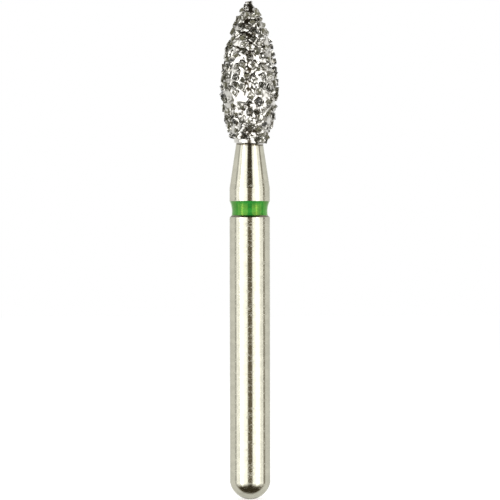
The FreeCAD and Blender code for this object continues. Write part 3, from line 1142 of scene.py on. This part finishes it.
def set_world(scene, s):
    # White to the camera, a dark and bright studio to the metal, and plain daylight to the rest.
    world = bpy.data.worlds.new("studio")
    scene.world = world
    world.use_nodes = True
    world.node_tree.nodes.clear()
    board = Board(world.node_tree)
    way = board.add("ShaderNodeTexCoord", (), (), "Generated")
    split = board.add("ShaderNodeSeparateXYZ", (), {0: way})
    x, y, z = (board.other(split, k) for k in range(3))
    forward = 0.0 - y
    turn = board.maths("ARCTAN2", x, forward)
    rise = board.maths("ARCSINE", z) * (180 / math.pi)
    aside = board.maths("ABSOLUTE", turn * (180 / math.pi))
    window = board.clamped(aside, *WINDOW[:2]) * (1.0 - board.clamped(aside, *WINDOW[2:]))
    seam = board.clamped(aside, *SEAM)
    narrowed = board.clamped(rise, *NARROWING, 1.0, NARROWED)
    kept = board.clamped(aside, *NARROWING_TURN)
    turn = turn * blended(narrowed, 1.0, kept)
    stops = [
        (0.5 + degrees / 360, (level / RAMP_TOP,) * 3 + (1.0,)) for degrees, level in ROUND_BUR
    ]
    level = board.add(
        "ShaderNodeValToRGB", {"stops": stops}, {0: turn / (2 * math.pi) + 0.5}, "Color"
    )
    level = level * RAMP_TOP + WINDOW_LIGHT * window - SEAM_DARK * seam
    dim = board.clamped(board.maths("ABSOLUTE", rise), *STRIP_TILT, 1.0, STRIP_DIM)
    level = level * dim * (level < STRIP_LEVEL) + level * (level > STRIP_LEVEL)

    above = blended(PALE_BEHIND, ABOVE_AHEAD, board.clamped(forward, *ABOVE_TURN))
    under = blended(PALE_BEHIND, UNDER_AHEAD, board.clamped(forward, *UNDER_TURN))
    under = blended(under, STRAIGHT_DOWN_LIGHT, board.clamped(0.0 - rise, *STRAIGHT_DOWN))
    studio = blended(level, above, board.clamped(rise, *HIGH))
    studio = blended(studio, under, board.clamped(0.0 - rise, *LOW))
    seen, mirrored = ray_shares(board)
    strength = blended(blended(s.daylight, studio, mirrored), 1.0, seen)
    tint = board.mix(board.clamped(strength, *WARM), WARM_TINT, WHITE)
    back = board.add("ShaderNodeBackground", (), {"Color": tint, "Strength": strength})
    board.add("ShaderNodeOutputWorld", (), {"Surface": back})


def floor_material():
    # Pale floor that shows the shadow to the camera and lets reflections through to the studio.
    material, board = new_material("pale_floor")
    seen, mirrored = ray_shares(board)
    paint = board.add("ShaderNodeBsdfDiffuse", (), {"Color": solid(FLOOR_PAINT)})
    glow = board.add("ShaderNodeEmission", (), {"Color": WHITE, "Strength": seen * FLOOR_GLOW})
    both = board.add("ShaderNodeAddShader", (), {0: paint, 1: glow})
    clear = board.add("ShaderNodeBsdfTransparent")
    shader = board.add("ShaderNodeMixShader", (), {0: mirrored, 1: both, 2: clear})
    finish_material(board, shader)
    return material


def add_lamp(scene, name, place, aim, watts):
    # A soft round lamp that the metal doesn't mirror.
    lamp = bpy.data.lights.new(name, "AREA")
    lamp.shape = "DISK"
    lamp.size = LAMP_SIZE
    lamp.energy = watts
    thing = bpy.data.objects.new(name, lamp)
    thing.location = place
    thing.rotation_euler = (Vector(aim) - Vector(place)).to_track_quat("-Z", "Y").to_euler()
    thing.visible_glossy = False
    thing.visible_transmission = False
    scene.collection.objects.link(thing)


class BUR_OT_stage(bpy.types.Operator):
    """Set the pale floor, the soft studio light and the camera"""

    bl_idname = "bur.stage"
    bl_label = "Stage"

    def execute(self, context):
        scene, s = context.scene, context.scene.bur_stage
        scene.view_settings.view_transform = "Standard"
        set_world(scene, s)

        half = s.floor_size / 2
        corners = [(-half, -half), (half, -half), (half, half), (-half, half)]
        floor_height = cad_low.z - FLOOR_GAP
        mesh = bpy.data.meshes.new("floor")
        mesh.from_pydata([(x, y, floor_height) for x, y in corners], [], [(0, 1, 2, 3)])
        mesh.materials.append(floor_material())
        floor = bpy.data.objects.new("floor", mesh)
        scene.collection.objects.link(floor)

        aim = (0.0, 0.0, s.middle)
        add_lamp(scene, "soft_left", LEFT_LAMP, aim, s.lamp_watts)
        add_lamp(scene, "soft_right", RIGHT_LAMP, aim, s.lamp_watts)

        camera = bpy.data.cameras.new("camera")
        camera.lens = s.lens
        camera.clip_start = 0.001
        camera.clip_end = 10.0
        distance = s.field * s.lens / camera.sensor_width
        thing = bpy.data.objects.new("camera", camera)
        thing.location = (CAMERA_ASIDE, -distance, s.middle)
        thing.rotation_euler = (math.radians(90.0), math.radians(CAMERA_LEAN_DEGREES), 0.0)
        scene.collection.objects.link(thing)
        scene.camera = thing
        return {"FINISHED"}


class BUR_PT_panel(bpy.types.Panel):
    """The bur's sizes, colours and steps"""

    bl_idname = "BUR_PT_panel"
    bl_label = "Diamond bur"
    bl_space_type = "VIEW_3D"
    bl_region_type = "UI"
    bl_category = "Bur"

    def draw(self, context):
        for operator, group in STEPS:
            box = self.layout.box()
            box.operator(operator.bl_idname)
            sizes = getattr(context.scene, group)
            for name in sizes.__annotations__:
                box.prop(sizes, name)


GROUPS = {
    "bur_blank": BurBlankSizes,
    "bur_band": BurBandSizes,
    "bur_grit": BurGritSizes,
    "bur_plating": BurPlatingSizes,
    "bur_stage": BurStageSizes,
}
STEPS = (
    (BUR_OT_steel_blank, "bur_blank"),
    (BUR_OT_colour_band, "bur_band"),
    (BUR_OT_diamond_grit, "bur_grit"),
    (BUR_OT_nickel_bond, "bur_plating"),
    (BUR_OT_stage, "bur_stage"),
)


def register():
    for name, group in GROUPS.items():
        bpy.utils.register_class(group)
        setattr(bpy.types.Scene, name, PointerProperty(type=group))
    for operator, group in STEPS:
        bpy.utils.register_class(operator)
    bpy.utils.register_class(BUR_PT_panel)


def unregister():
    bpy.utils.unregister_class(BUR_PT_panel)
    for operator, group in reversed(STEPS):
        bpy.utils.unregister_class(operator)
    for name, group in reversed(GROUPS.items()):
        delattr(bpy.types.Scene, name)
        bpy.utils.unregister_class(group)


def main():
    register()
    bpy.ops.bur.steel_blank()
    bpy.ops.bur.colour_band()
    bpy.ops.bur.diamond_grit()
    bpy.ops.bur.nickel_bond()
    bpy.ops.bur.stage()


if __name__ == "__main__":
    main()
